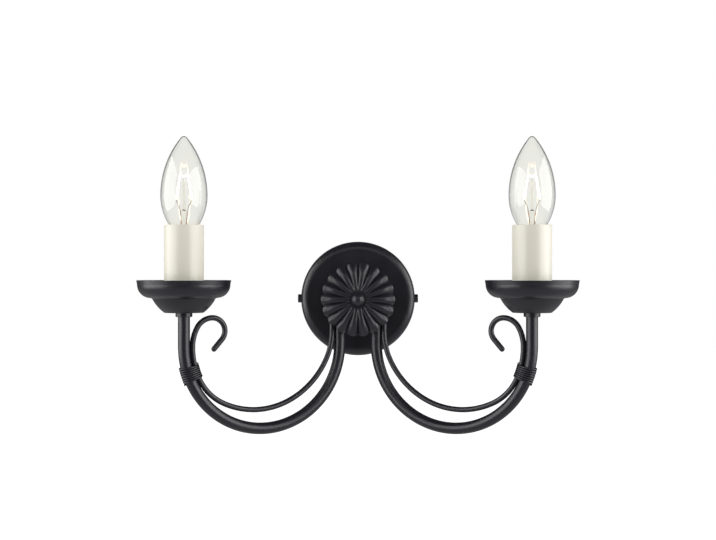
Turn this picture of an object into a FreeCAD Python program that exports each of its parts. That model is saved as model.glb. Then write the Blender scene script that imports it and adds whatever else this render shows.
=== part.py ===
import FreeCAD, Part
import math
import os
import Sketcher
from FreeCAD import Placement, Rotation, Vector

# A double arm wall light. Two tube arms leave a hub on a round wall plate, swing down and out in
# half circles and carry a drip pan, a candle and a candle bulb each. A thin rod follows each arm,
# is bound to it with wire and ends in a scroll. A fluted rosette covers the hub.
#
# Frame: the origin is the centre of the wall plate's open back, on the wall. +Z is up, +X is to
# the right for someone who looks at the wall, and the room is on the -Y side, so a depth from the
# wall is a length along -Y. All sizes are in millimetres.

DIMENSIONS = (
    # wall plate, a pressed dish that is open to the wall
    ("plate_diameter", 92.0),
    ("plate_depth", 20.0),
    ("plate_edge", 6.5),
    ("plate_sheet", 1.2),
    # wall bracket and what it carries
    ("strap_width", 20.0),
    ("strap_sheet", 2.0),
    ("ear_depth", 13.0),
    ("slot_spacing", 54.0),
    ("slot_length", 12.0),
    ("slot_width", 5.0),
    ("cable_hole", 16.0),
    ("block_width", 28.0),
    ("block_height", 17.0),
    ("block_thick", 13.0),
    ("block_level", 20.0),
    ("pole_pitch", 9.0),
    ("pole_depth", 8.5),
    ("pole_bore", 2.9),
    ("pole_wall", 0.7),
    ("clamp_screw", 3.0),
    ("clamp_pitch", 9.0),
    ("side_screw", 4.0),
    ("side_screw_depth", 8.0),
    ("side_head", 6.8),
    ("side_head_height", 2.8),
    # hub, centre stud and rosette
    ("hub_diameter", 46.0),
    ("hub_shoulder", 43.5),
    ("hub_sheet", 1.2),
    ("stud_diameter", 6.0),
    ("washer_diameter", 12.5),
    ("washer_thick", 1.2),
    ("stud_nut_flats", 10.0),
    ("stud_nut_height", 5.0),
    ("grommet_level", 8.0),
    ("grommet_hole", 7.2),
    ("rosette_diameter", 58.6),
    ("rosette_petals", 18.0),
    ("rosette_rim_depth", 44.5),
    ("rosette_rise", 6.5),
    ("rosette_flute", 2.5),
    ("rosette_curl", 1.6),
    ("rosette_sheet", 1.0),
    ("rosette_scallop", 1.6),
    ("rosette_seat", 6.0),
    ("ball_diameter", 10.5),
    ("ball_neck", 7.2),
    ("ball_socket", 5.8),
    # arms
    ("hub_offset", 14.5),
    ("hub_projection", 35.0),
    ("cup_offset", 130.5),
    ("cup_projection", 90.0),
    ("arm_drop", 34.8),
    ("tube_diameter", 9.0),
    ("tube_bore", 6.2),
    ("tube_start", 12.0),
    ("tube_thread", 8.0),
    # scroll rods and the wire that binds them
    ("rod_diameter", 4.2),
    ("rod_start", 14.5),
    ("rod_straight", 10.5),
    ("rod_shoulder_out", 20.6),
    ("rod_shoulder_drop", 60.8),
    ("rod_belly", 49.5),
    ("rod_belly_shift", 6.0),
    ("scroll_top", 13.1),
    ("scroll_reach", 15.7),
    ("scroll_curl", 10.0),
    ("scroll_tail", 9.5),
    ("binding_wire", 1.2),
    ("binding_pitch", 1.95),
    ("binding_turns", 6.0),
    ("binding_middle", 18.6),
    ("binding_overlap", 6.0),
    # drip pans
    ("cup_bottom", 8.9),
    ("cup_sheet", 1.2),
    ("cup_foot", 29.2),
    ("cup_waist", 47.2),
    ("cup_waist_height", 10.5),
    ("cup_bowl_radius", 30.0),
    ("cup_ledge", 1.1),
    ("cup_brim_radius", 10.0),
    ("cup_rim", 70.6),
    ("cup_height", 24.3),
    ("cup_nut_diameter", 12.6),
    ("cup_nut_height", 3.2),
    ("cup_nut_edge", 0.4),
    # lampholders and candle sleeves
    ("foot_flange", 27.8),
    ("foot_flange_thick", 2.0),
    ("foot_neck", 14.0),
    ("foot_height", 6.0),
    ("holder_diameter", 26.0),
    ("holder_wall", 2.0),
    ("deck_thick", 3.0),
    ("contact_room", 3.1),
    ("contact_strip", 0.5),
    ("shell_wall", 0.5),
    ("shell_height", 21.0),
    ("sleeve_diameter", 29.6),
    ("sleeve_wall", 1.5),
    ("sleeve_length", 62.3),
    ("sleeve_round", 0.5),
    ("bulb_seat", 31.3),
    # candle bulbs
    ("bulb_length", 97.9),
    ("bulb_diameter", 35.0),
    ("bulb_widest", 53.4),
    ("bulb_shoulder", 42.0),
    ("bulb_tip", 3.0),
    ("glass_wall", 0.7),
    ("neck_diameter", 16.0),
    ("cap_thread", 13.9),
    ("cap_skirt", 17.0),
    ("cap_length", 25.4),
    ("cap_foot", 2.7),
    ("cap_taper", 2.2),
    ("thread_start", 4.4),
    ("thread_end", 18.0),
    ("skirt_start", 21.0),
    ("cap_sheet", 0.35),
    ("tip_diameter", 3.7),
    ("tip_crown", 0.5),
    ("insulator_start", 0.8),
    ("insulator_rim", 1.2),
    ("insulator_inset", 1.4),
    ("stem_height", 20.0),
    ("stem_flare", 9.0),
    ("stem_waist", 5.2),
    ("stem_pinch", 4.0),
    ("mast_foot", 2.0),
    ("mast_foot_height", 1.5),
    ("mast_tip", 1.4),
    ("mast_height", 44.0),
    ("lead_spacing", 5.4),
    ("lead_below_pinch", 3.0),
    ("lead_straight", 5.0),
    ("lead_rise", 11.0),
    ("lead_spread", 12.0),
    ("filament_peak", 5.0),
    ("filament_peak_spread", 5.4),
    ("filament_wire", 0.8),
    ("lead_wire", 0.7),
    # wires and clearances
    ("wire_diameter", 1.6),
    ("wire_spread", 1.2),
    ("wire_bend", 4.0),
    ("earth_wire", 1.8),
    ("earth_wire_bend", 3.5),
    ("earth_wire_lead", 4.5),
    ("earth_wire_knee", 8.0),
    ("wire_side_room", 0.1),
    ("fit_gap", 0.05),
    ("screw_gap", 0.2),
    ("slide_gap", 0.3),
)

document = FreeCAD.newDocument("wall_light")
sheet = document.addObject("Spreadsheet::Sheet", "dims")
for row, (alias, number) in enumerate(DIMENSIONS, start=1):
    sheet.set(f"A{row}", alias)
    sheet.set(f"B{row}", str(number))
    sheet.setAlias(f"B{row}", alias)
document.recompute()


class Size:
    """A length that carries its value and the sheet expression that gives it."""

    def __init__(self, value, text):
        self.value = value
        self.text = text

    def __add__(self, other):
        other = as_size(other)
        return Size(self.value + other.value, f"({self.text} + {other.text})")

    def __sub__(self, other):
        other = as_size(other)
        return Size(self.value - other.value, f"({self.text} - {other.text})")

    def __mul__(self, other):
        other = as_size(other)
        return Size(self.value * other.value, f"({self.text} * {other.text})")

    def __truediv__(self, other):
        other = as_size(other)
        return Size(self.value / other.value, f"({self.text} / {other.text})")

    def __radd__(self, other):
        return as_size(other) + self

    def __rsub__(self, other):
        return as_size(other) - self

    def __rmul__(self, other):
        return as_size(other) * self

    def __neg__(self):
        return Size(-self.value, f"(0 - {self.text})")

    def __float__(self):
        return self.value


def as_size(amount):
    if isinstance(amount, Size):
        return amount
    return Size(float(amount), f"({float(amount)})")


def root(amount):
    """Square root of a size."""
    return Size(math.sqrt(amount.value), f"sqrt({amount.text})")


class Sheet:
    """The driving dimensions by name."""

    def __getattr__(self, alias):
        return Size(float(sheet.get(alias)), f"dims.{alias}")


d = Sheet()


# --- sketches and bodies ---------------------------------------------------------------------

def point(x, y, z=0.0):
    return Vector(float(x), float(y), float(z))


def arc_between(start, end, bend):
    """Arc of radius |bend| from start to end. It turns left for a plus bend, right for a minus."""
    chord = end - start
    middle = (start + end) * 0.5
    radius = abs(bend)
    left = Vector(-chord.y, chord.x, 0).normalize()
    reach = math.sqrt(radius ** 2 - (chord.Length / 2) ** 2)
    centre = middle + left * math.copysign(reach, bend)
    crown = centre + (middle - centre).normalize() * radius
    return Part.Arc(start, crown, end)


def new_body(label):
    body = document.addObject("PartDesign::Body", label)
    body.Label = label
    return body


def new_sketch(body, name, role, offset=None):
    """A sketch on one of the body's own origin planes, moved along its normal by offset."""
    sketch = body.newObject("Sketcher::SketchObject", f"{body.Label}_{name}")
    plane = next(item for item in body.Origin.OriginFeatures if item.Role == role)
    sketch.AttachmentSupport = (plane, [""])
    sketch.MapMode = "FlatFace"
    if offset is not None:
        sketch.AttachmentOffset = Placement(point(0, 0, offset), Rotation())
        sketch.setExpression("AttachmentOffset.Base.z", offset.text)
    return sketch


def constrain(sketch, kind, *where_and_size):
    """Add a driving constraint whose size follows the sheet."""
    *where, size = where_and_size
    size = as_size(size)
    index = sketch.addConstraint(Sketcher.Constraint(kind, *where, size.value))
    sketch.setExpression(f"Constraints[{index}]", size.text)


def add_outline(sketch, corners):
    """Closed outline. A corner is (x, y), or (x, y, bend) where the run that ends there is an arc."""
    first = sketch.GeometryCount
    points = [point(corner[0], corner[1]) for corner in corners]
    count = len(corners)
    ends = []
    for number in range(count):
        start = points[number - 1]
        end = points[number]
        if len(corners[number]) == 3:
            sketch.addGeometry(arc_between(start, end, float(corners[number][2])), False)
        else:
            sketch.addGeometry(Part.LineSegment(start, end), False)
        forward = (sketch.getPoint(first + number, 1) - start).Length < 1e-6
        ends.append((1, 2) if forward else (2, 1))
    for number in range(count):
        following = (number + 1) % count
        sketch.addConstraint(Sketcher.Constraint(
            "Coincident", first + number, ends[number][1], first + following, ends[following][0]))
    for number, corner in enumerate(corners):
        constrain(sketch, "DistanceX", -1, 1, first + number, ends[number][1], corner[0])
        constrain(sketch, "DistanceY", -1, 1, first + number, ends[number][1], corner[1])
        if len(corner) == 3:
            bend = as_size(corner[2])
            constrain(sketch, "Radius", first + number, bend if bend.value > 0 else -bend)


def add_circle(sketch, x, y, radius):
    index = sketch.addGeometry(Part.Circle(point(x, y), Vector(0, 0, 1), float(radius)), False)
    constrain(sketch, "Radius", index, radius)
    constrain(sketch, "DistanceX", -1, 1, index, 3, x)
    constrain(sketch, "DistanceY", -1, 1, index, 3, y)


def turned(label, corners, role="XZ_Plane"):
    """A piece of revolution about the upright axis of its sketch."""
    body = new_body(label)
    sketch = new_sketch(body, "profile", role)
    add_outline(sketch, corners)
    turning = body.newObject("PartDesign::Revolution", f"{label}_turning")
    turning.Profile = sketch
    turning.ReferenceAxis = (sketch, ["V_Axis"])
    turning.Angle = 360
    return body


def padded(body, name, role, length, outlines=(), circles=(), offset=None, middle=False, back=False):
    """Pad outlines and circles by length, evenly to both sides where middle is set."""
    sketch = new_sketch(body, name, role, offset)
    for corners in outlines:
        add_outline(sketch, corners)
    for circle in circles:
        add_circle(sketch, *circle)
    pad = body.newObject("PartDesign::Pad", f"{body.Label}_{name}_pad")
    pad.Profile = sketch
    pad.SideType = "Symmetric" if middle else "One side"
    pad.Reversed = back
    pad.setExpression("Length", length.text)
    return pad


def cut_through(body, name, role, outlines=(), circles=(), one_way=False, back=False):
    """Cut outlines and circles right through the body, both ways unless one_way is set."""
    document.recompute()
    before = body.Shape.Volume
    sketch = new_sketch(body, name, role)
    for corners in outlines:
        add_outline(sketch, corners)
    for circle in circles:
        add_circle(sketch, *circle)
    pocket = body.newObject("PartDesign::Pocket", f"{body.Label}_{name}_cut")
    pocket.Profile = sketch
    pocket.SideType = "One side" if one_way else "Symmetric"
    pocket.Type = "ThroughAll"
    pocket.Reversed = back
    document.recompute()
    if body.Shape.Volume > before - 0.01:
        raise RuntimeError(f"{body.Label}: {name} cuts nothing")


def hexagon(flats, x=0.0, y=0.0):
    """Corners of a hexagon of the given width across flats, with two flats upright."""
    reach = flats / math.sqrt(3.0)
    corners = []
    for number in range(6):
        angle = math.radians(30 + 60 * number)
        corners.append((x + reach * math.cos(angle), y + reach * math.sin(angle)))
    return corners


def place(body, x=None, y=None, z=None):
    for letter, amount in (("x", x), ("y", y), ("z", z)):
        if amount is not None:
            body.setExpression(f"Placement.Base.{letter}", as_size(amount).text)


def solid_feature(label, shape, placement=None):
    """A sub-part whose shape is made with Part's own functions."""
    feature = document.addObject("Part::Feature", label)
    feature.Label = label
    feature.Shape = shape
    if placement is not None:
        feature.Placement = placement
    return feature


# --- routes for rods and wires ---------------------------------------------------------------

def half_arc(start, knee, end):
    """Arc from start to end, tangent to the legs that meet at knee. Both legs are as long."""
    chord = (end - start).Length
    leg = (knee - start).Length
    if chord > 2 * leg * (1 - 1e-9):
        return Part.LineSegment(start, end)
    weight = chord / (2 * leg)
    crown = (start + end + knee * (2 * weight)) * (1 / (2 + 2 * weight))
    return Part.Arc(start, crown, end)


def biarc(start, heading, end, end_heading):
    """Two tangent arcs from start to end that leave and arrive along the given headings."""
    span = end - start
    both = heading + end_heading
    bend = 2 * (1 - heading.dot(end_heading))
    along = span.dot(both)
    reach = span.dot(span) / (2 * along) if bend < 1e-9 else (
        (math.sqrt(along ** 2 + bend * span.dot(span)) - along) / bend)
    first = start + heading * reach
    last = end - end_heading * reach
    join = (first + last) * 0.5
    return [half_arc(start, first, join), half_arc(join, last, end)]


def rounded_run(points, radius):
    """Straight runs through points, with each turn rounded to radius."""
    edges = []
    here = points[0]
    for number in range(1, len(points) - 1):
        corner = points[number]
        before = (points[number - 1] - corner).normalize()
        after = (points[number + 1] - corner).normalize()
        half = before.getAngle(after) / 2
        setback = radius / math.tan(half)
        start = corner + before * setback
        end = corner + after * setback
        edges.append(Part.LineSegment(here, start))
        edges.append(half_arc(start, corner, end))
        here = end
    edges.append(Part.LineSegment(here, points[-1]))
    return edges


def tube_along(curves, radius):
    """A round solid swept along tangent lines and arcs."""
    spine = Part.Wire([curve.toShape() for curve in curves])
    start = curves[0].value(curves[0].FirstParameter)
    heading = curves[0].tangent(curves[0].FirstParameter)[0]
    section = Part.Wire([Part.Circle(start, heading, radius).toShape()])
    solid = spine.makePipeShell([section], True, False)
    expected = math.pi * radius ** 2 * spine.Length
    if abs(solid.Volume / expected - 1) > 0.02:
        raise RuntimeError(f"swept volume {solid.Volume:.1f} instead of {expected:.1f}")
    return solid


# --- wall plate, bracket and terminal block --------------------------------------------------

plate_radius = d.plate_diameter / 2
plate_inside = plate_radius - d.plate_sheet
plate_face = plate_radius - d.plate_edge
stud_hole = d.stud_diameter / 2 + d.screw_gap
side_hole = d.side_screw / 2 + d.screw_gap
earth_offset = (d.cable_hole / 2 + (d.slot_spacing - d.slot_length) / 2) / 2

wall_plate = turned("wall_plate", [
    (plate_inside, 0.0),
    (plate_radius, 0.0),
    (plate_radius, -(d.plate_depth - d.plate_edge)),
    (plate_face, -d.plate_depth, -d.plate_edge),
    (stud_hole, -d.plate_depth),
    (stud_hole, -(d.plate_depth - d.plate_sheet)),
    (plate_face, -(d.plate_depth - d.plate_sheet)),
    (plate_inside, -(d.plate_depth - d.plate_edge), d.plate_edge - d.plate_sheet),
], role="XY_Plane")
cut_through(wall_plate, "side_holes", "YZ_Plane", circles=[(-d.side_screw_depth, 0.0, side_hole)])
cut_through(wall_plate, "grommet_holes", "XZ_Plane", circles=[
    (d.hub_offset, d.grommet_level, d.grommet_hole / 2),
    (-d.hub_offset, d.grommet_level, d.grommet_hole / 2),
])

# The strap reaches as far as its corners clear the inside of the round plate.
half_strap = d.strap_width / 2
ear_reach = root(plate_inside * plate_inside - half_strap * half_strap) - d.slide_gap
ear_inside = ear_reach - d.strap_sheet

wall_bracket = new_body("wall_bracket")
padded(wall_bracket, "strap", "XY_Plane", d.strap_width, middle=True, outlines=[[
    (-ear_reach, 0.0),
    (ear_reach, 0.0),
    (ear_reach, -d.ear_depth),
    (ear_inside, -d.ear_depth),
    (ear_inside, -d.strap_sheet),
    (-ear_inside, -d.strap_sheet),
    (-ear_inside, -d.ear_depth),
    (-ear_reach, -d.ear_depth),
]])
tab_top = d.block_level + d.block_height
padded(wall_bracket, "tab", "XZ_Plane", d.strap_sheet, outlines=[[
    (-d.block_width / 2, 0.0),
    (d.block_width / 2, 0.0),
    (d.block_width / 2, tab_top),
    (-d.block_width / 2, tab_top),
]])


def slot(x, length, width):
    """A slot along X with round ends."""
    half_run = (length - width) / 2
    bend = width / 2
    return [
        (x + half_run, -bend),
        (x + half_run + bend, 0.0, bend),
        (x + half_run, bend, bend),
        (x - half_run, bend),
        (x - half_run - bend, 0.0, bend),
        (x - half_run, -bend, bend),
    ]


fixing_level = d.block_level + d.block_height / 2
fixing_offset = d.pole_pitch / 2
tapped_hole = d.side_screw / 2 + d.fit_gap
clamp_hole = d.clamp_screw / 2 + d.fit_gap
cut_through(wall_bracket, "slots", "XZ_Plane", outlines=[
    slot(d.slot_spacing / 2, d.slot_length, d.slot_width),
    slot(-d.slot_spacing / 2, d.slot_length, d.slot_width),
], circles=[
    (0.0, 0.0, d.cable_hole / 2),
    (-earth_offset, 0.0, tapped_hole),
    (-fixing_offset, fixing_level, clamp_hole),
])
cut_through(wall_bracket, "ear_holes", "YZ_Plane", circles=[(-d.side_screw_depth, 0.0, tapped_hole)])

# Side screws go through the plate's side into the ears, and hold the plate to the bracket.
screw_length = plate_radius - ear_inside + d.strap_sheet
plate_screws = new_body("plate_screws")
for name, sign, back in (("right", 1, True), ("left", -1, False)):
    padded(plate_screws, f"{name}_shank", "YZ_Plane", screw_length + d.side_head_height / 2,
           circles=[(-d.side_screw_depth, 0.0, d.side_screw / 2)],
           offset=sign * (plate_radius + d.side_head_height / 2), back=back)
    padded(plate_screws, f"{name}_head", "YZ_Plane", d.side_head_height,
           circles=[(-d.side_screw_depth, 0.0, d.side_head / 2)],
           offset=sign * plate_radius, back=not back)
plate_screws.AllowCompound = True

pole_radius = d.pole_bore / 2 + d.pole_wall
poles = (-d.pole_pitch, as_size(0.0), d.pole_pitch)
clamp_levels = (fixing_level - d.clamp_pitch / 2, fixing_level + d.clamp_pitch / 2)
block_front = d.strap_sheet + d.block_thick

terminal_block = new_body("terminal_block")
padded(terminal_block, "body", "XZ_Plane", d.block_thick, offset=d.strap_sheet, outlines=[[
    (-d.block_width / 2, d.block_level),
    (d.block_width / 2, d.block_level),
    (d.block_width / 2, tab_top),
    (-d.block_width / 2, tab_top),
]])
cut_through(terminal_block, "bores", "XY_Plane", circles=[
    (pole, -d.pole_depth, pole_radius + d.fit_gap) for pole in poles])
cut_through(terminal_block, "fixing_hole", "XZ_Plane", circles=[
    (-fixing_offset, fixing_level, clamp_hole)])
document.recompute()
screw_wells = new_sketch(terminal_block, "screw_wells", "XZ_Plane", d.pole_depth)
for pole in poles:
    for level in clamp_levels:
        add_circle(screw_wells, pole, level, clamp_hole)
wells = terminal_block.newObject("PartDesign::Pocket", "terminal_block_wells")
wells.Profile = screw_wells
wells.Type = "ThroughAll"
wells.Reversed = True

terminal_inserts = new_body("terminal_inserts")
terminal_inserts.AllowCompound = True
for number, pole in enumerate(poles):
    padded(terminal_inserts, f"pole_{number}", "XY_Plane", d.block_height, offset=d.block_level,
           circles=[(pole, -d.pole_depth, pole_radius), (pole, -d.pole_depth, d.pole_bore / 2)])
document.recompute()
insert_holes = new_sketch(terminal_inserts, "screw_holes", "XZ_Plane", d.pole_depth)
for pole in poles:
    for level in clamp_levels:
        add_circle(insert_holes, pole, level, clamp_hole)
tapping = terminal_inserts.newObject("PartDesign::Pocket", "terminal_inserts_tapping")
tapping.Profile = insert_holes
tapping.Type = "ThroughAll"
tapping.Reversed = True

terminal_screws = new_body("terminal_screws")
terminal_screws.AllowCompound = True
screw_circles = [(pole, level, d.clamp_screw / 2) for pole in poles for level in clamp_levels]
screw_tip = d.pole_depth + d.pole_bore / 2 - d.pole_wall
padded(terminal_screws, "shanks", "XZ_Plane", block_front - screw_tip, offset=screw_tip,
       circles=screw_circles)

fixing_screw = new_body("terminal_fixing_screw")
padded(fixing_screw, "shank", "XZ_Plane", block_front, circles=[
    (-fixing_offset, fixing_level, d.clamp_screw / 2)])
padded(fixing_screw, "head", "XZ_Plane", d.clamp_screw / 2, offset=block_front, circles=[
    (-fixing_offset, fixing_level, d.clamp_screw * 0.9)])

earth_screw = new_body("earth_screw")
padded(earth_screw, "shank", "XZ_Plane", d.strap_sheet * 1.5, circles=[
    (-earth_offset, 0.0, d.side_screw / 2)])
padded(earth_screw, "head", "XZ_Plane", d.side_head_height, offset=d.strap_sheet, circles=[
    (-earth_offset, 0.0, d.side_head / 2)])

# --- hub, stud, rosette ----------------------------------------------------------------------

hub_radius = d.hub_diameter / 2


def dome_height(radius):
    """How far the rosette's groove line stands in front of its rim, at a radius."""
    share = radius / (d.rosette_diameter / 2)
    return d.rosette_rise * (1 - share * share)


rosette_back = d.rosette_rim_depth + dome_height(d.rosette_seat) - d.rosette_sheet
rosette_front = rosette_back + d.rosette_sheet

arm_hub = turned("arm_hub", [
    (hub_radius - d.hub_sheet, -d.plate_depth),
    (hub_radius, -d.plate_depth),
    (hub_radius, -d.hub_shoulder),
    (d.rosette_seat, -rosette_back),
    (stud_hole, -rosette_back),
    (stud_hole, -(rosette_back - d.hub_sheet)),
    (d.rosette_seat - d.hub_sheet / 2, -(rosette_back - d.hub_sheet)),
    (hub_radius - d.hub_sheet, -(d.hub_shoulder - d.hub_sheet / 2)),
], role="XY_Plane")
tube_hole = d.tube_diameter / 2 + d.fit_gap
cut_through(arm_hub, "tube_holes", "XY_Plane", one_way=True, circles=[
    (d.hub_offset, -d.hub_projection, tube_hole),
    (-d.hub_offset, -d.hub_projection, tube_hole),
])

plate_inner_face = d.plate_depth - d.plate_sheet
washer_face = plate_inner_face - d.washer_thick
nut_face = washer_face - d.stud_nut_height
stud_back = nut_face - d.stud_diameter / 3
stud_front = rosette_front + d.ball_socket - d.slide_gap

centre_stud = new_body("centre_stud")
padded(centre_stud, "rod", "XZ_Plane", stud_front - stud_back, offset=stud_back,
       circles=[(0.0, 0.0, d.stud_diameter / 2)])
stud_washer = new_body("stud_washer")
padded(stud_washer, "disc", "XZ_Plane", d.washer_thick, offset=washer_face, circles=[
    (0.0, 0.0, d.washer_diameter / 2), (0.0, 0.0, stud_hole)])
stud_nut = new_body("stud_nut")
padded(stud_nut, "hexagon", "XZ_Plane", d.stud_nut_height, offset=nut_face,
       outlines=[hexagon(d.stud_nut_flats)],
       circles=[(0.0, 0.0, d.stud_diameter / 2 + d.fit_gap)])

for side, sign in (("left", -1), ("right", 1)):
    bore = d.wire_diameter + d.wire_spread
    grommet = turned(f"wire_grommet_{side}", [
        (bore, -(d.plate_depth + d.plate_sheet)),
        (d.grommet_hole / 2 + d.plate_sheet, -(d.plate_depth + d.plate_sheet)),
        (d.grommet_hole / 2 + d.plate_sheet, -d.plate_depth),
        (d.grommet_hole / 2 - d.fit_gap, -d.plate_depth),
        (d.grommet_hole / 2 - d.fit_gap, -plate_inner_face),
        (d.grommet_hole / 2 + d.plate_sheet, -plate_inner_face),
        (d.grommet_hole / 2 + d.plate_sheet, -(plate_inner_face - d.plate_sheet)),
        (bore, -(plate_inner_face - d.plate_sheet)),
    ], role="XY_Plane")
    place(grommet, x=sign * d.hub_offset, z=d.grommet_level)

# The rosette is pressed sheet: a seat round the stud and petals that rise between sharp grooves,
# grow in width and height to the rim, and curl back there. One petal is lofted through arcs and
# repeated; the rim is then cut to a scallop for each petal.
petals = int(round(float(d.rosette_petals)))
half_petal = math.pi / petals
petal_rim = float(d.rosette_diameter) / 2
petal_seat = float(d.rosette_seat)
petal_start = petal_seat + 0.02 * (petal_rim - petal_seat)
petal_trim = 1.0
STATION_SHARES = (0.12, 0.3, 0.55, 0.78, 0.9, 1.0)
CURL_START = 0.6
FLUTE_GROWTH = 0.7


def petal_section(radius):
    """Section of one petal, square to its middle line, at a radius from the rosette's centre."""
    share = min(1.0, max(0.0, (radius - petal_seat) / (petal_rim - petal_seat)))
    curl = float(d.rosette_curl) * max(0.0, (share - CURL_START) / (1 - CURL_START)) ** 2
    groove = float(d.rosette_rim_depth) + float(dome_height(as_size(radius))) - curl
    crest = groove + float(d.rosette_flute) * math.sin(share ** FLUTE_GROWTH * math.pi / 2)
    thick = float(d.rosette_sheet)
    ahead = radius * math.cos(half_petal)
    aside = radius * math.sin(half_petal)
    left = Vector(ahead, -groove, -aside)
    right = Vector(ahead, -groove, aside)
    back = Vector(0, thick, 0)
    if crest - groove < 1e-6:
        front_edge = Part.LineSegment(left, right)
        back_edge = Part.LineSegment(right + back, left + back)
    else:
        top = Vector(ahead, -crest, 0)
        front_edge = Part.Arc(left, top, right)
        back_edge = Part.Arc(right + back, top + back, left + back)
    return Part.Wire([
        front_edge.toShape(),
        Part.LineSegment(right, right + back).toShape(),
        back_edge.toShape(),
        Part.LineSegment(left + back, left).toShape(),
    ])


def rosette_shape():
    growing = petal_rim + petal_trim - petal_seat
    stations = [petal_start] + [petal_seat + growing * share for share in STATION_SHARES]
    petal = Part.makeLoft([petal_section(radius) for radius in stations], True, False)
    axis = Vector(0, 1, 0)
    step = 360.0 / petals
    ring = []
    seat_corners = []
    for number in range(petals):
        copy = petal.copy()
        copy.rotate(Vector(0, 0, 0), axis, step * number)
        ring.append(copy)
        angle = math.radians(step * (number + 0.5))
        seat_corners.append(Vector(petal_start * math.cos(angle), -float(rosette_front),
                                   petal_start * math.sin(angle)))
    seat_face = Part.Face(Part.makePolygon(seat_corners + seat_corners[:1]))
    seat_plate = seat_face.extrude(Vector(0, float(d.rosette_sheet), 0))
    whole = seat_plate.fuse(ring)
    groove_rim = petal_rim - float(d.rosette_scallop)
    scallops = []
    for number in range(petals):
        angles = [math.radians(step * (number + share)) for share in (-0.5, 0.0, 0.5)]
        radii = (groove_rim, petal_rim, groove_rim)
        marks = [Vector(radius * math.cos(angle), 0, radius * math.sin(angle))
                 for angle, radius in zip(angles, radii)]
        scallops.append(Part.Arc(*marks).toShape())
    trimmer = Part.Face(Part.Wire(scallops)).extrude(Vector(0, -2 * float(rosette_front), 0))
    whole = whole.common(trimmer)
    hole = Part.makeCylinder(float(stud_hole), 2 * float(rosette_front), Vector(0, 0, 0),
                             Vector(0, -1, 0))
    return whole.cut(hole).Solids[0]


rosette = solid_feature("rosette", rosette_shape())

ball_radius = d.ball_diameter / 2
ball_neck = d.ball_neck / 2
ball_centre = rosette_front + root(ball_radius * ball_radius - ball_neck * ball_neck)
ball_flat = d.fit_gap * 4
ball_crown = ball_centre + root(ball_radius * ball_radius - ball_flat * ball_flat)
ball_bore = d.stud_diameter / 2 + d.fit_gap
ball_nut = turned("ball_nut", [
    (ball_bore, -rosette_front),
    (ball_neck, -rosette_front),
    (ball_flat, -ball_crown, -ball_radius),
    (0.0, -ball_crown),
    (0.0, -(rosette_front + d.ball_socket)),
    (ball_bore, -(rosette_front + d.ball_socket)),
], role="XY_Plane")

# --- arms ------------------------------------------------------------------------------------

reach_x = d.cup_offset - d.hub_offset
reach_y = d.cup_projection - d.hub_projection
arm_span = root(reach_x * reach_x + reach_y * reach_y)
arm_radius = arm_span / 2
arm_angle = math.degrees(math.atan2(reach_y.value, reach_x.value))

cup_base = -d.cup_bottom
cup_floor = cup_base + d.cup_sheet
tube_shoulder = cup_base - d.cup_nut_height
foot_top = cup_floor + d.foot_height
tube_end = foot_top - d.fit_gap
thread_hole = d.tube_thread / 2 + d.fit_gap


ARM_TURNS = {"right": (1, 0), "left": (-1, 180)}


def arm_placement(side):
    """Place of what is drawn in the arm's own plane, X outwards from the hub."""
    sign, turn = ARM_TURNS[side]
    return Placement(point(sign * d.hub_offset, -d.hub_projection),
                     Rotation(Vector(0, 0, 1), turn - sign * arm_angle))


def lay_arm(body, side):
    """Put a body in its arm's place and keep it there when the sheet changes."""
    sign, turn = ARM_TURNS[side]
    body.Placement = arm_placement(side)
    body.setExpression("Placement.Rotation.Angle",
                       f"{turn} deg - {sign} * atan({reach_y.text} / {reach_x.text})")
    place(body, x=sign * d.hub_offset, y=-d.hub_projection)


def arm_tube(side):
    """Tube from the hub down, round half a circle and up to a threaded end under the cup."""
    label = f"arm_tube_{side}"
    body = new_body(label)
    route = new_sketch(body, "route", "XZ_Plane")
    low = -d.arm_drop
    hub_end = point(0, -d.tube_start)
    bend_start = point(0, low)
    bend_low = point(arm_radius, low - arm_radius)
    bend_end = point(arm_span, low)
    cup_end = point(arm_span, tube_end)
    route.addGeometry([
        Part.LineSegment(hub_end, bend_start),
        Part.Arc(bend_start, bend_low, bend_end),
        Part.LineSegment(bend_end, cup_end),
    ], False)
    constrain(route, "DistanceX", -1, 1, 0, 1, 0.0)
    constrain(route, "DistanceY", -1, 1, 0, 1, -d.tube_start)
    constrain(route, "DistanceX", -1, 1, 0, 2, 0.0)
    constrain(route, "DistanceY", -1, 1, 0, 2, low)
    route.addConstraint(Sketcher.Constraint("Coincident", 0, 2, 1, 1))
    constrain(route, "DistanceX", -1, 1, 1, 3, arm_radius)
    constrain(route, "DistanceY", -1, 1, 1, 3, low)
    route.addConstraint(Sketcher.Constraint("Coincident", 1, 2, 2, 1))
    route.addConstraint(Sketcher.Constraint("Vertical", 2))
    constrain(route, "DistanceY", -1, 1, 2, 1, low)
    constrain(route, "DistanceY", -1, 1, 2, 2, tube_end)
    section = new_sketch(body, "section", "XY_Plane", -d.tube_start)
    add_circle(section, 0.0, 0.0, d.tube_diameter / 2)
    add_circle(section, 0.0, 0.0, d.tube_bore / 2)
    pipe = body.newObject("PartDesign::AdditivePipe", f"{label}_bending")
    pipe.Profile = section
    pipe.Spine = (route, [])
    document.recompute()
    collar = new_sketch(body, "thread", "XY_Plane", tube_shoulder)
    add_circle(collar, arm_span, 0.0, d.tube_thread / 2)
    add_circle(collar, arm_span, 0.0, d.tube_diameter)
    thread = body.newObject("PartDesign::Pocket", f"{label}_threading")
    thread.Profile = collar
    thread.Type = "ThroughAll"
    thread.Reversed = True
    lay_arm(body, side)
    return body


arm_low = -float(d.arm_drop)
bend_radius = float(arm_radius)
rod_radius = float(d.rod_diameter) / 2
rod_offset = float(d.tube_diameter) / 2 + rod_radius + float(d.fit_gap)


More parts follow.
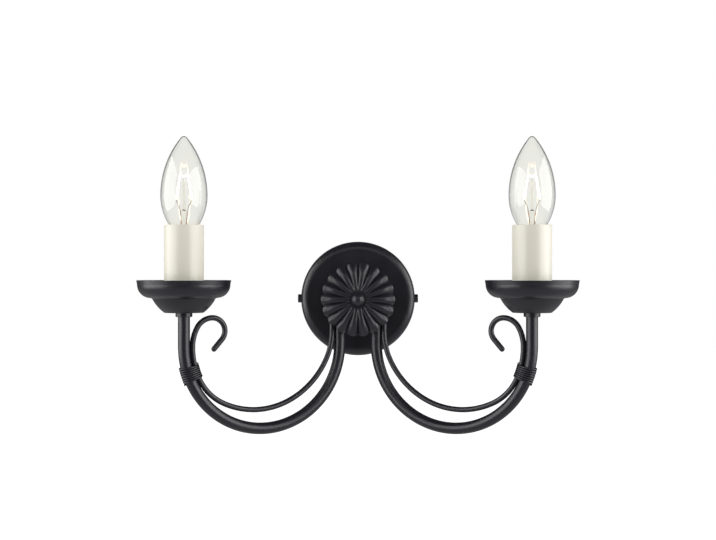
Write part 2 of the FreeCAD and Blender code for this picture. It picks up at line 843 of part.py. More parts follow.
def on_arm(angle, inwards, aside=0.0):
    """Point beside the arm's bend: angle up from the lowest outer side, inwards from its axis."""
    distance = bend_radius - inwards
    return Vector(bend_radius + distance * math.cos(angle), aside,
                  arm_low - distance * math.sin(angle))


def heading_at(degrees):
    angle = math.radians(degrees)
    return Vector(math.cos(angle), 0, math.sin(angle))


SHOULDER_HEADING = -50.0
HOOK_TURN = 131.0


def on_curl(crown, turned_by):
    """Point on the scroll's end curl, a number of degrees past its crown."""
    curl = float(d.scroll_curl)
    angle = math.radians(90 + turned_by)
    return crown + Vector(curl * math.cos(angle), 0, curl * (math.sin(angle) - 1))


def rod_route():
    """Arcs of the rod: along the tube at the hub, a shallower belly, the binding, the scroll."""
    bound_at = float(d.binding_middle) + float(d.binding_overlap)
    belly = Vector(bend_radius + float(d.rod_belly_shift), 0, arm_low - float(d.rod_belly))
    start = Vector(rod_offset, 0, -float(d.rod_start))
    leave = start - Vector(0, 0, float(d.rod_straight))
    shoulder = Vector(float(d.rod_shoulder_out), 0, -float(d.rod_shoulder_drop))
    bound = on_arm(math.radians(bound_at), rod_offset)
    beside = on_arm(0.0, rod_offset)
    crown = Vector(beside.x - float(d.scroll_reach), 0, -float(d.scroll_top))
    hook = on_curl(crown, HOOK_TURN)
    tip = hook + heading_at(180 + HOOK_TURN) * float(d.scroll_tail)
    curves = [Part.LineSegment(start, leave)]
    curves += biarc(leave, heading_at(-90), shoulder, heading_at(SHOULDER_HEADING))
    curves += biarc(shoulder, heading_at(SHOULDER_HEADING), belly, heading_at(0))
    curves += biarc(belly, heading_at(0), bound, heading_at(90 - bound_at))
    curves.append(Part.Arc(bound, on_arm(math.radians(bound_at / 2), rod_offset), beside))
    curves += biarc(beside, heading_at(90), crown, heading_at(180))
    curves.append(Part.Arc(crown, on_curl(crown, HOOK_TURN / 2), hook))
    curves.append(Part.LineSegment(hook, tip))
    return curves, tip


def scroll_rod(side):
    curves, tip = rod_route()
    rod = tube_along(curves, rod_radius)
    rod = rod.fuse(Part.makeSphere(rod_radius, tip)).removeSplitter()
    return solid_feature(f"scroll_rod_{side}", rod.Solids[0], arm_placement(side))


# The wire's oval: its height beside the tube's middle, as a share of the tube's radius, where it
# is highest, and how it slopes down there towards the thinner rod.
OVAL_HEIGHT = 0.93
OVAL_CREST = 0.12
OVAL_SLOPE = 0.22


def binding_point(quarter):
    """Point and heading of the binding wire after a number of quarter turns."""
    wire = float(d.binding_wire)
    clear = wire / 2 + float(d.screw_gap)
    outer = float(d.tube_diameter) / 2 + clear
    inner = rod_offset + rod_radius + clear
    height = float(d.tube_diameter) / 2 * OVAL_HEIGHT + clear
    crest = inner * OVAL_CREST
    places = ((-outer, 0.0), (crest, height), (inner, 0.0), (crest, -height))
    slopes = ((0.0, 1.0), (1.0, -OVAL_SLOPE), (0.0, -1.0), (-1.0, -OVAL_SLOPE))
    inwards, aside = places[quarter % 4]
    slope_in, slope_aside = slopes[quarter % 4]
    total = float(d.binding_turns) * float(d.binding_pitch)
    advance = float(d.binding_pitch) * quarter / 4 - total / 2
    angle = math.radians(float(d.binding_middle)) - advance / bend_radius
    place_at = on_arm(angle, inwards, aside)
    radial = Vector(-math.cos(angle), 0, math.sin(angle))
    along = Vector(math.sin(angle), 0, math.cos(angle))
    lean = float(d.binding_pitch) / (math.pi * (outer + inner))
    heading = radial * slope_in + Vector(0, slope_aside, 0) + along * lean
    return place_at, heading.normalize()


def binding_route():
    curves = []
    quarters = int(round(4 * float(d.binding_turns)))
    for quarter in range(quarters):
        start, heading = binding_point(quarter)
        end, end_heading = binding_point(quarter + 1)
        curves += biarc(start, heading, end, end_heading)
    return curves


def least_gap(curves, wire):
    """Least gap of a winding to itself, measured between points of neighbouring turns."""
    steps = 6
    arcs_per_turn = 8
    per_turn = arcs_per_turn * steps
    marks = []
    for curve in curves:
        first, last = curve.FirstParameter, curve.LastParameter
        marks += [curve.value(first + (last - first) * step / steps) for step in range(steps)]
    nearest = float("inf")
    for number, mark in enumerate(marks):
        for other in marks[number + per_turn // 2:number + 3 * per_turn // 2]:
            nearest = min(nearest, (mark - other).Length)
    return nearest - wire


def wire_binding(side):
    curves = binding_route()
    wire = float(d.binding_wire)
    print(f"wire_binding_{side}: least gap to itself {least_gap(curves, wire):.2f} mm")
    return solid_feature(f"wire_binding_{side}", tube_along(curves, wire / 2), arm_placement(side))


# --- drip pans, lampholders, candle sleeves ---------------------------------------------------

def cup_corners():
    """Pressed pan: a flat foot, a lower bowl, a ledge, a rounded brim and an upright lip."""
    sheet_thick = d.cup_sheet
    foot = d.cup_foot / 2
    waist = d.cup_waist / 2
    waist_level = cup_base + d.cup_waist_height
    ledge = waist + d.cup_ledge
    ledge_level = waist_level + d.cup_ledge / 2
    brim = ledge + d.cup_brim_radius
    brim_level = ledge_level + d.cup_brim_radius
    rim = d.cup_rim / 2
    rim_level = cup_base + d.cup_height
    inner_ledge = waist_level + d.cup_ledge * 1.3
    return [
        (thread_hole, cup_base),
        (foot, cup_base),
        (waist, waist_level, d.cup_bowl_radius),
        (ledge, ledge_level),
        (brim, brim_level, d.cup_brim_radius),
        (rim, rim_level),
        (rim - sheet_thick, rim_level),
        (brim - sheet_thick, brim_level),
        (ledge, ledge_level + sheet_thick, -(d.cup_brim_radius - sheet_thick)),
        (waist - sheet_thick, inner_ledge),
        (foot - sheet_thick / 4, cup_floor, -(d.cup_bowl_radius - sheet_thick)),
        (thread_hole, cup_floor),
    ]


flange_top = cup_floor + d.foot_flange_thick
sleeve_base = flange_top + d.slide_gap
sleeve_top = sleeve_base + d.sleeve_length
bulb_bottom = sleeve_top - d.bulb_seat
deck_top = bulb_bottom - d.contact_room
deck_bottom = deck_top - d.deck_thick
cap_radius = d.cap_thread / 2
shell_bore = cap_radius + d.slide_gap
shell_outside = shell_bore + d.shell_wall
shell_top = deck_top + d.shell_height
holder_radius = d.holder_diameter / 2
skirt_bore = d.cap_skirt / 2 + 2 * d.slide_gap
holder_top = sleeve_top - d.holder_wall * 2
neck_radius = d.foot_neck / 2
nut_radius = d.cup_nut_diameter / 2
sleeve_radius = d.sleeve_diameter / 2

for side, sign in (("left", -1), ("right", 1)):
    cup = turned(f"cup_{side}", cup_corners())
    nut = turned(f"cup_nut_{side}", [
        (thread_hole, tube_shoulder),
        (nut_radius - d.cup_nut_edge, tube_shoulder),
        (nut_radius, tube_shoulder + d.cup_nut_edge),
        (nut_radius, cup_base),
        (thread_hole, cup_base),
    ])
    foot = turned(f"holder_foot_{side}", [
        (thread_hole, cup_floor),
        (d.foot_flange / 2, cup_floor),
        (d.foot_flange / 2, flange_top),
        (neck_radius, flange_top),
        (neck_radius, foot_top),
        (thread_hole, foot_top),
    ])
    holder = turned(f"holder_body_{side}", [
        (neck_radius + d.fit_gap, flange_top),
        (holder_radius, flange_top),
        (holder_radius, holder_top),
        (skirt_bore, holder_top),
        (skirt_bore, shell_top),
        (shell_outside + d.fit_gap, shell_top),
        (shell_outside + d.fit_gap, deck_top),
        (d.clamp_screw / 2, deck_top),
        (d.clamp_screw / 2, deck_bottom),
        (holder_radius - d.holder_wall, deck_bottom),
        (holder_radius - d.holder_wall, flange_top + d.holder_wall),
        (neck_radius + d.fit_gap, flange_top + d.holder_wall),
    ])
    shell = turned(f"screw_shell_{side}", [
        (shell_bore, deck_top),
        (shell_outside, deck_top),
        (shell_outside, shell_top),
        (shell_bore, shell_top),
    ])
    strip = d.contact_strip
    contact_top = bulb_bottom - d.slide_gap
    loop = (contact_top - deck_top) / 2
    loop_middle = deck_top + loop
    loop_x = shell_bore / 2
    contact = new_body(f"centre_contact_{side}")
    padded(contact, "strip", "XZ_Plane", d.clamp_screw * 1.5, middle=True, outlines=[[
        (-loop_x, deck_top),
        (loop_x, deck_top),
        (loop_x + loop, loop_middle, loop),
        (loop_x, contact_top, loop),
        (-loop_x / 2, contact_top),
        (-loop_x / 2, contact_top - strip),
        (loop_x, contact_top - strip),
        (loop_x + loop - strip, loop_middle, -(loop - strip)),
        (loop_x, deck_top + strip, -(loop - strip)),
        (-loop_x, deck_top + strip),
    ]])
    sleeve = turned(f"candle_sleeve_{side}", [
        (sleeve_radius - d.sleeve_wall, sleeve_base),
        (sleeve_radius - d.sleeve_round, sleeve_base),
        (sleeve_radius, sleeve_base + d.sleeve_round, d.sleeve_round),
        (sleeve_radius, sleeve_top - d.sleeve_round),
        (sleeve_radius - d.sleeve_round, sleeve_top, d.sleeve_round),
        (sleeve_radius - d.sleeve_wall, sleeve_top),
    ])
    for body in (cup, nut, foot, holder, shell, contact, sleeve):
        place(body, x=sign * d.cup_offset, y=-d.cup_projection)

# --- candle bulbs ------------------------------------------------------------------------------

bulb_top = bulb_bottom + d.bulb_length
widest = bulb_bottom + d.bulb_widest
belly_radius = d.bulb_diameter / 2
tip_centre = bulb_top - d.bulb_tip
rise = tip_centre - widest
flame_radius = (rise * rise + belly_radius * belly_radius - d.bulb_tip * d.bulb_tip) / (
    2 * (belly_radius - d.bulb_tip))
neck = d.neck_diameter / 2


def neck_level(wall):
    """Level where the bulb's lower curve meets its neck, for the surface a wall inside."""
    curve = d.bulb_shoulder - wall
    run = d.bulb_shoulder - belly_radius + neck - wall
    return widest - root(curve * curve - run * run)


def tip_join(wall):
    """Point where the long upper curve runs into the small curve of the tip."""
    share = (d.bulb_tip - wall) / (flame_radius - d.bulb_tip)
    return (flame_radius - belly_radius) * share, tip_centre + rise * share


cap_top = bulb_bottom + d.cap_length
thread_bottom = bulb_bottom + d.thread_start
thread_top = bulb_bottom + d.thread_end
skirt_level = bulb_bottom + d.skirt_start
cap_foot = bulb_bottom + d.cap_foot
cap_edge = cap_radius - d.cap_taper
glass_foot = skirt_level + d.slide_gap
wall = d.glass_wall
stem_top = glass_foot + d.stem_height
mast_top = glass_foot + d.mast_height
tip_radius = d.tip_diameter / 2


def bulb_wires(side, sign):
    """Lead wires that spread from the stem's pinch, and the filament between them."""
    axis = point(sign * d.cup_offset, -d.cup_projection)
    low = float(stem_top) - float(d.lead_below_pinch)
    fork = low + float(d.lead_rise)
    peak = float(mast_top) + float(d.filament_peak)
    spread = float(d.lead_spread) / 2
    peak_spread = float(d.filament_peak_spread) / 2
    lead = float(d.lead_wire) / 2
    thread = float(d.filament_wire) / 2
    leads = []
    for way in (-1, 1):
        start = Vector(way * float(d.lead_spacing) / 2, 0, low)
        knee = start + Vector(0, 0, float(d.lead_straight))
        end = Vector(way * spread, 0, fork)
        leads.append(tube_along(rounded_run([start, knee, end], 8 * lead), lead))
    lead_node = solid_feature(f"lead_wires_{side}", Part.makeCompound(leads),
                              Placement(axis, Rotation()))
    gap = lead + thread + float(d.wire_side_room)
    marks = [
        Vector(-spread, 0, fork + gap),
        Vector(-peak_spread, 0, peak),
        Vector(0, 0, float(mast_top) + float(d.mast_tip) / 2 + gap),
        Vector(peak_spread, 0, peak),
        Vector(spread, 0, fork + gap),
    ]
    curves = rounded_run(marks, 1.5 * thread)
    filament = solid_feature(f"filament_{side}", tube_along(curves, thread),
                             Placement(axis, Rotation()))
    return lead_node, filament


for side, sign in (("left", -1), ("right", 1)):
    join_x, join_level = tip_join(as_size(0.0))
    join_in_x, join_in_level = tip_join(wall)
    glass = turned(f"bulb_glass_{side}", [
        (neck, glass_foot),
        (neck, neck_level(as_size(0.0))),
        (belly_radius, widest, d.bulb_shoulder),
        (join_x, join_level, flame_radius),
        (0.0, bulb_top, d.bulb_tip),
        (0.0, bulb_top - wall),
        (join_in_x, join_in_level, -(d.bulb_tip - wall)),
        (belly_radius - wall, widest, -(flame_radius - wall)),
        (neck - wall, neck_level(wall), -(d.bulb_shoulder - wall)),
        (neck - wall, glass_foot),
    ])
    cap = turned(f"bulb_cap_{side}", [
        (cap_edge, cap_foot),
        (cap_radius, thread_bottom),
        (cap_radius, thread_top),
        (d.cap_skirt / 2, skirt_level),
        (d.cap_skirt / 2, cap_top),
        (d.cap_skirt / 2 - d.cap_sheet, cap_top),
        (d.cap_skirt / 2 - d.cap_sheet, skirt_level),
        (cap_radius - d.cap_sheet, thread_top),
        (cap_radius - d.cap_sheet, thread_bottom),
        (cap_edge - d.cap_sheet, cap_foot + d.cap_sheet),
    ])
    insulator = turned(f"bulb_insulator_{side}", [
        (tip_radius + d.fit_gap, bulb_bottom + d.insulator_start),
        (tip_radius + d.insulator_rim, bulb_bottom + d.insulator_start),
        (cap_radius - d.insulator_inset, cap_foot - d.fit_gap),
        (tip_radius + d.fit_gap, cap_foot - d.fit_gap),
    ])
    solder = turned(f"bulb_contact_{side}", [
        (0.0, bulb_bottom),
        (tip_radius, bulb_bottom + d.tip_crown, tip_radius * 2),
        (tip_radius, cap_foot - d.fit_gap),
        (0.0, cap_foot - d.fit_gap),
    ])
    stem = turned(f"glass_stem_{side}", [
        (0.0, glass_foot),
        (neck - wall - d.fit_gap, glass_foot),
        (d.stem_waist / 2, glass_foot + d.stem_flare),
        (d.stem_pinch / 2, stem_top),
        (d.mast_foot / 2, stem_top + d.mast_foot_height),
        (d.mast_tip / 2, mast_top),
        (0.0, mast_top + d.mast_tip / 2),
    ])
    for body in (glass, cap, insulator, solder, stem):
        place(body, x=sign * d.cup_offset, y=-d.cup_projection)
    bulb_wires(side, sign)

# --- arms, rods and bindings in place ----------------------------------------------------------

for side in ("left", "right"):
    arm_tube(side)
    scroll_rod(side)
    wire_binding(side)

# --- wires --------------------------------------------------------------------------------------

def arm_wire(name, side, outward):
    """One insulated wire from the lampholder through the arm and hub to its terminal."""
    sign = 1 if side == "right" else -1
    angle = math.radians(arm_angle)
    normal = Vector(sign * math.sin(angle), math.cos(angle), 0) * float(d.wire_spread) * outward
    hub_axis = point(sign * d.hub_offset, -d.hub_projection) + normal
    cup_axis = point(sign * d.cup_offset, -d.cup_projection) + normal
    middle = (hub_axis + cup_axis) * 0.5
    drop = Vector(0, 0, arm_low)
    holder_end = cup_axis + point(0, 0, deck_bottom - d.slide_gap)
    level = float(d.grommet_level) - outward * float(d.wire_spread)
    beside = sign * (float(d.wire_diameter) / 2 + float(d.wire_side_room))
    plane = -(float(d.pole_depth) - outward * abs(beside))
    pole = float(poles[1] if outward > 0 else poles[2])
    grommet = Vector(hub_axis.x, plane, level)
    clamp = Vector(pole + beside, plane, float(d.block_level) - float(d.fit_gap))
    below_clamp = clamp - Vector(0, 0, float(d.wire_bend))
    curves = [
        Part.LineSegment(holder_end, cup_axis + drop),
        Part.Arc(cup_axis + drop, middle + drop - Vector(0, 0, bend_radius), hub_axis + drop),
    ]
    run = [hub_axis + drop, Vector(hub_axis.x, hub_axis.y, level), grommet, below_clamp, clamp]
    curves += rounded_run(run, float(d.wire_bend))
    return solid_feature(f"{name}_wire_{side}", tube_along(curves, float(d.wire_diameter) / 2))


for side in ("left", "right"):
    arm_wire("live", side, 1)
    arm_wire("neutral", side, -1)

pole_plane = -float(d.pole_depth)
head_top = float(d.side_head) / 2 + float(d.screw_gap)
head_plane = -(float(d.strap_sheet) + float(d.side_head_height) / 2)
block_foot = float(d.block_level)
earth_run = [
    Vector(-float(earth_offset), head_plane, head_top),
    Vector(-float(earth_offset), head_plane, block_foot - float(d.earth_wire_knee)),
    Vector(float(poles[0]), pole_plane, block_foot - float(d.earth_wire_lead)),
    Vector(float(poles[0]), pole_plane, block_foot - float(d.fit_gap)),
]
solid_feature("earth_wire", tube_along(rounded_run(earth_run, float(d.earth_wire_bend)),
                                       float(d.earth_wire) / 2))

# --- check and write ------------------------------------------------------------------------------

document.recompute()
os.makedirs("parts", exist_ok=True)
for item in document.Objects:
    if any(state in ("Invalid", "Error") for state in item.State):
        raise RuntimeError(f"{item.Label} did not build")
subparts = [item for item in document.Objects
            if item.TypeId == "PartDesign::Body" or item.TypeId == "Part::Feature"]
for item in subparts:
    if item.Shape.isNull() or not item.Shape.isValid() or not item.Shape.Solids:
        raise RuntimeError(f"{item.Label} has no valid solid")
for item in subparts:
    item.Shape.exportStep(os.path.join("parts", f"{item.Label}.step"))
print(f"{len(subparts)} sub-parts written")
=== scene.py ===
import math
import random

import bpy
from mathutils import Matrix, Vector


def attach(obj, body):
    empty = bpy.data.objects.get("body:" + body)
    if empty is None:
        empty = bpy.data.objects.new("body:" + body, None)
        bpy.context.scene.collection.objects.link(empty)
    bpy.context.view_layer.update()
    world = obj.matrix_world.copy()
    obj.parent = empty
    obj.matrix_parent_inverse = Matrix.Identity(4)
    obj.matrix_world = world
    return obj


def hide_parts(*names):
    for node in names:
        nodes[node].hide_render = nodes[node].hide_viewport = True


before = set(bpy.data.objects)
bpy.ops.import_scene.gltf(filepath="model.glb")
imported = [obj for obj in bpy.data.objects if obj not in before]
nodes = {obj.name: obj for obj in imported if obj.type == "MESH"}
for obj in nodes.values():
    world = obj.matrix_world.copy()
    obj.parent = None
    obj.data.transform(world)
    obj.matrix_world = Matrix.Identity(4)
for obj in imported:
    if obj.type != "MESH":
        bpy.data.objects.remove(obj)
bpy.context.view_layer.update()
MM = 0.001


# --- Camera, floor and studio light ---------------------------------------------------------
# The wall light hangs in front of a white studio ground, and the camera looks straight at the
# wall from about a metre. Large soft boxes stand at the left and right, and a wide flat one
# hangs above and behind the camera.

PHOTO_WIDTH_PX = 716
FOCAL_PX = 1267
SENSOR_WIDTH = 36
FARTHEST = 60
EYE = (0.0, -1.040, 0.0231)

view = bpy.data.cameras.new("photo_camera")
view.sensor_width = SENSOR_WIDTH
view.lens = FOCAL_PX / PHOTO_WIDTH_PX * SENSOR_WIDTH
view.clip_end = FARTHEST
camera = bpy.data.objects.new("photo_camera", view)
camera.location = EYE
camera.rotation_euler = (math.radians(90), 0, 0)
bpy.context.scene.collection.objects.link(camera)
bpy.context.scene.camera = camera
bpy.context.scene.view_settings.view_transform = "Standard"

FLOOR_SIZE = 40
FLOOR_LEVEL = -1.3
FLOOR_TONE = (0.3, 0.3, 0.3)
FLOOR_ROUGHNESS = 0.9
WHITE_GLOW = 1.0

# The floor glows as white as the ground behind it, and only the camera sees it.
bpy.ops.object.select_all(action="DESELECT")
bpy.ops.mesh.primitive_plane_add(size=FLOOR_SIZE, location=(0, 0, FLOOR_LEVEL))
floor = bpy.context.object
floor.name = "studio_floor"
floor.visible_diffuse = False
floor.visible_glossy = False
floor.visible_transmission = False
pale = bpy.data.materials.new("studio_floor_paint")
pale.use_nodes = True
paint = pale.node_tree.nodes["Principled BSDF"]
paint.inputs["Base Color"].default_value = (*FLOOR_TONE, 1)
paint.inputs["Roughness"].default_value = FLOOR_ROUGHNESS
paint.inputs["Emission Color"].default_value = (1, 1, 1, 1)
paint.inputs["Emission Strength"].default_value = WHITE_GLOW
floor.data.materials.append(pale)

# A glow changes from its first value to its second while the height or depth of the direction
# goes through the fade.
AIR_TONE = (0.97, 0.98, 1.0)
ROOM_FADE, ROOM_GLOW = (-0.7, -0.05), (0.65, 0.1)
BACKDROP_FADE, BACKDROP_GLOW = (0.0, 0.5), (0.0, 0.9)
RIM_FADE, RIM_GLOW = (-0.1, 0.35), (0.8, 0.15)

world = bpy.data.worlds.new("studio")
bpy.context.scene.world = world
world.use_nodes = True
air = world.node_tree
air.nodes.clear()
path = air.nodes.new("ShaderNodeLightPath")
heading = air.nodes.new("ShaderNodeTexCoord")
direction = air.nodes.new("ShaderNodeSeparateXYZ")
air.links.new(heading.outputs["Generated"], direction.inputs[0])


def ranged(tree, value, span, target=(0.0, 1.0)):
    """Map Range node that carries a value's span over to a target span."""
    change = tree.nodes.new("ShaderNodeMapRange")
    for label, number in zip(("From Min", "From Max", "To Min", "To Max"), (*span, *target)):
        change.inputs[label].default_value = number
    tree.links.new(value, change.inputs["Value"])
    return change


def graded(share, fade, glow):
    """Background whose brightness changes with a share of the direction."""
    light = air.nodes.new("ShaderNodeBackground")
    light.inputs["Color"].default_value = (*AIR_TONE, 1)
    air.links.new(ranged(air, share, fade, glow).outputs["Result"], light.inputs["Strength"])
    return light


def when(ray, other, one):
    """The second background for a kind of ray, else the first."""
    choice = air.nodes.new("ShaderNodeMixShader")
    air.links.new(path.outputs[ray], choice.inputs[0])
    air.links.new(other.outputs[0], choice.inputs[1])
    air.links.new(one.outputs[0], choice.inputs[2])
    return choice


ground = air.nodes.new("ShaderNodeBackground")
ground.inputs["Color"].default_value = (1, 1, 1, 1)
ground.inputs["Strength"].default_value = WHITE_GLOW
room = graded(direction.outputs["Z"], ROOM_FADE, ROOM_GLOW)
behind = graded(direction.outputs["Y"], BACKDROP_FADE, BACKDROP_GLOW)
backdrop = air.nodes.new("ShaderNodeAddShader")
air.links.new(room.outputs[0], backdrop.inputs[0])
air.links.new(behind.outputs[0], backdrop.inputs[1])
lit = when("Is Diffuse Ray", room, backdrop)

# What passes straight through the glass shows the ground, and what the glass throws back on
# the way is dimmer, so that the rims of the bulbs stand out.
rim = graded(direction.outputs["Z"], RIM_FADE, RIM_GLOW)
through = when("Glossy Depth", ground, rim)
seen = when("Is Camera Ray", when("Is Transmission Ray", lit, through), ground)
result = air.nodes.new("ShaderNodeOutputWorld")
air.links.new(seen.outputs[0], result.inputs["Surface"])

LAMP_AIM = Vector((0, -0.08, 0))


def soft_box(name, place, width, height, glow):
    """Area light that faces the wall light, with glow as its brightness in the picture."""
    lamp = bpy.data.lights.new(name, "AREA")
    lamp.shape = "RECTANGLE"
    lamp.size = width
    lamp.size_y = height
    lamp.energy = glow * math.pi * width * height
    box = bpy.data.objects.new(name, lamp)
    box.location = place
    box.rotation_euler = (LAMP_AIM - Vector(place)).to_track_quat("-Z", "Y").to_euler()
    box.visible_camera = False
    box.visible_transmission = False
    bpy.context.scene.collection.objects.link(box)


soft_box("left_soft_box", (-1.3, -0.5, 0.25), width=1.7, height=1.4, glow=3.75)
soft_box("right_soft_box", (1.3, -0.5, 0.25), width=1.7, height=1.4, glow=4.1)
soft_box("top_soft_box", (0, -1.6, 0.85), width=1.3, height=0.5, glow=1.3)


# --- Wall plate and its side screws ---------------------------------------------------------
# A shallow dish of pressed sheet steel with a rolled shoulder, coated in fine satin black
# powder. A screw at each side holds it to the bracket behind.

PEEL_DETAIL = 3
PATCH_DETAIL = 4
PEEL_DEPTH = 0.2 * MM

# The sheen goes from its smoothest to its roughest over this part of the patch noise.
PATCH_SPAN = (0.3, 0.7)

# A Mix node has a set of sockets for each kind of value, and these are the ones for colours.
MIX_FIRST, MIX_SECOND, MIX_RESULT = 6, 7, 2


def socket_label(name):
    """Label of a surface group's input: patch_scale is Patch Scale."""
    return name.replace("_", " ").title()


def surface_group(name, **values):
    """Node group with two tones and named values in, and colour, roughness and normal out."""
    group = bpy.data.node_groups.new(name, "ShaderNodeTree")
    face = group.interface
    for label in ("Dark", "Light"):
        face.new_socket(label, in_out="INPUT", socket_type="NodeSocketColor")
    for label, value in values.items():
        socket = face.new_socket(socket_label(label), in_out="INPUT",
                                 socket_type="NodeSocketFloat")
        socket.default_value = value
    for label, kind in (("Color", "Color"), ("Roughness", "Float"), ("Normal", "Vector")):
        face.new_socket(label, in_out="OUTPUT", socket_type=f"NodeSocket{kind}")
    return group


def noise(group, place, scale, detail):
    """Value of a noise texture whose place and scale come from other sockets."""
    grain = group.nodes.new("ShaderNodeTexNoise")
    grain.inputs["Detail"].default_value = detail
    group.links.new(place, grain.inputs["Vector"])
    group.links.new(scale, grain.inputs["Scale"])
    return grain.outputs["Fac"]


def colour_mix(tree, share):
    """Mix node for two colours, by a share."""
    mix = tree.nodes.new("ShaderNodeMix")
    mix.data_type = "RGBA"
    tree.links.new(share, mix.inputs["Factor"])
    return mix


def finish_group(group, source, tint, patches, relief, height, depth):
    """One noise mixes the tones, one sets the sheen and one raises the relief."""
    link = group.links.new
    tone = colour_mix(group, tint)
    link(source.outputs["Dark"], tone.inputs[MIX_FIRST])
    link(source.outputs["Light"], tone.inputs[MIX_SECOND])
    sheen = ranged(group, patches, PATCH_SPAN)
    link(source.outputs["Smoothest"], sheen.inputs["To Min"])
    link(source.outputs["Roughest"], sheen.inputs["To Max"])
    bump = group.nodes.new("ShaderNodeBump")
    bump.inputs["Distance"].default_value = depth
    link(relief, bump.inputs["Height"])
    link(height, bump.inputs["Strength"])
    drain = group.nodes.new("NodeGroupOutput")
    link(tone.outputs[MIX_RESULT], drain.inputs["Color"])
    link(sheen.outputs["Result"], drain.inputs["Roughness"])
    link(bump.outputs["Normal"], drain.inputs["Normal"])


def coat_group():
    """Node group for a baked powder coat: fine orange peel and slightly uneven sheen."""
    group = surface_group("powder_coat", peel_scale=900.0, peel_height=0.1, patch_scale=60.0,
                          smoothest=0.3, roughest=0.45)
    source = group.nodes.new("NodeGroupInput")
    place = group.nodes.new("ShaderNodeTexCoord").outputs["Object"]
    peel = noise(group, place, source.outputs["Peel Scale"], PEEL_DETAIL)
    patches = noise(group, place, source.outputs["Patch Scale"], PATCH_DETAIL)
    finish_group(group, source, patches, patches, peel, source.outputs["Peel Height"],
                 PEEL_DEPTH)
    return group


powder_coat = coat_group()


def coated(name, dark, light, group=powder_coat, metallic=0.0, **values):
    """Material whose colour, roughness and relief come from a surface group."""
    made = bpy.data.materials.new(name)
    made.use_nodes = True
    tree = made.node_tree
    shader = tree.nodes["Principled BSDF"]
    shader.inputs["Metallic"].default_value = metallic
    surface = tree.nodes.new("ShaderNodeGroup")
    surface.node_tree = group
    surface.inputs["Dark"].default_value = (*dark, 1)
    surface.inputs["Light"].default_value = (*light, 1)
    for label, value in values.items():
        surface.inputs[socket_label(label)].default_value = value
    tree.links.new(surface.outputs["Color"], shader.inputs["Base Color"])
    tree.links.new(surface.outputs["Roughness"], shader.inputs["Roughness"])
    tree.links.new(surface.outputs["Normal"], shader.inputs["Normal"])
    return made


def dress(material, *names):
    """The CAD nodes of these names get a material."""
    for name in names:
        nodes[name].data.materials.clear()
        nodes[name].data.materials.append(material)


black_metal = coated("satin_black_powder", (0.0065, 0.0058, 0.010), (0.0105, 0.0095, 0.015),
                     peel_scale=1100.0, peel_height=0.4, smoothest=0.3, roughest=0.38)
dress(black_metal, "wall_plate")

screw_corners = [corner.co for corner in nodes["plate_screws"].data.vertices]
screw_depths = [spot.y for spot in screw_corners]
SCREW_HEAD_FRONT = max(spot.x for spot in screw_corners)
SCREW_POINT = min(abs(spot.x) for spot in screw_corners)
SCREW_HEAD_R = max(spot.z for spot in screw_corners)
SCREW_DEPTH = (min(screw_depths) + max(screw_depths)) / 2
SCREW_HEAD_HEIGHT = 2.8 * MM
SCREW_SHANK_R = 2.0 * MM
SCREW_EDGE = 0.448 * MM
SCREW_SLOT_WIDTH = 1.1 * MM
SCREW_SLOT_DEPTH = 1.0 * MM
SCREW_SIDES = 48
SCREW_CREASE = math.radians(35)
LEFT_SLOT_TURN = math.radians(12)
RIGHT_SLOT_TURN = math.radians(-20)
PLATE_R = SCREW_HEAD_FRONT - SCREW_HEAD_HEIGHT

# A face whose normal has at least this share along an axis lies square on it.
SQUARE_ON = 0.9


def only(*pieces):
    """Nothing else is selected, and the last piece is the active one."""
    bpy.ops.object.select_all(action="DESELECT")
    for piece in pieces:
        piece.select_set(True)
    bpy.context.view_layer.objects.active = pieces[-1]


def edit_picked(piece, kind, test):
    """Edit mode on a piece, with only those faces or vertices selected that pass a test."""
    only(piece)
    bpy.ops.object.mode_set(mode="EDIT")
    bpy.ops.mesh.select_mode(type=kind)
    bpy.ops.mesh.select_all(action="DESELECT")
    bpy.ops.object.mode_set(mode="OBJECT")
    elements = piece.data.polygons if kind == "FACE" else piece.data.vertices
    for element in elements:
        element.select = test(element)
    bpy.ops.object.mode_set(mode="EDIT")


def slotted_screw(name, shank_length):
    """Cheese head screw that points along -X, with its head's inner face at X 0."""
    bpy.ops.object.select_all(action="DESELECT")
    bpy.ops.mesh.primitive_cylinder_add(
        vertices=SCREW_SIDES, radius=SCREW_HEAD_R, depth=SCREW_HEAD_HEIGHT,
        location=(SCREW_HEAD_HEIGHT / 2, 0, 0), rotation=(0, math.radians(90), 0))
    screw = bpy.context.object
    screw.name = name
    bpy.ops.object.transform_apply(location=True, rotation=True, scale=True)
    edit_picked(screw, "FACE", lambda face: face.normal.x < -SQUARE_ON)
    bpy.ops.mesh.inset(thickness=SCREW_HEAD_R - SCREW_SHANK_R)
    bpy.ops.mesh.extrude_region_move(TRANSFORM_OT_translate={"value": (-shank_length, 0, 0)})
    bpy.ops.object.mode_set(mode="OBJECT")
    edit_picked(screw, "FACE", lambda face: face.normal.x > SQUARE_ON)
    bpy.ops.mesh.region_to_loop()
    bpy.ops.mesh.bevel(offset=SCREW_EDGE, segments=3)
    bpy.ops.object.mode_set(mode="OBJECT")
    bpy.ops.object.select_all(action="DESELECT")
    bpy.ops.mesh.primitive_cube_add(
        size=1, location=(SCREW_HEAD_HEIGHT, 0, 0),
        scale=(2 * SCREW_SLOT_DEPTH, SCREW_SLOT_WIDTH, 3 * SCREW_HEAD_R))
    cutter = bpy.context.object
    cut = screw.modifiers.new("slot", "BOOLEAN")
    cut.operation = "DIFFERENCE"
    cut.object = cutter
    cut.solver = "EXACT"
    only(screw)
    bpy.ops.object.modifier_apply(modifier="slot")
    bpy.data.objects.remove(cutter, do_unlink=True)
    only(screw)
    bpy.ops.object.shade_smooth_by_angle(angle=SCREW_CREASE)
    return screw


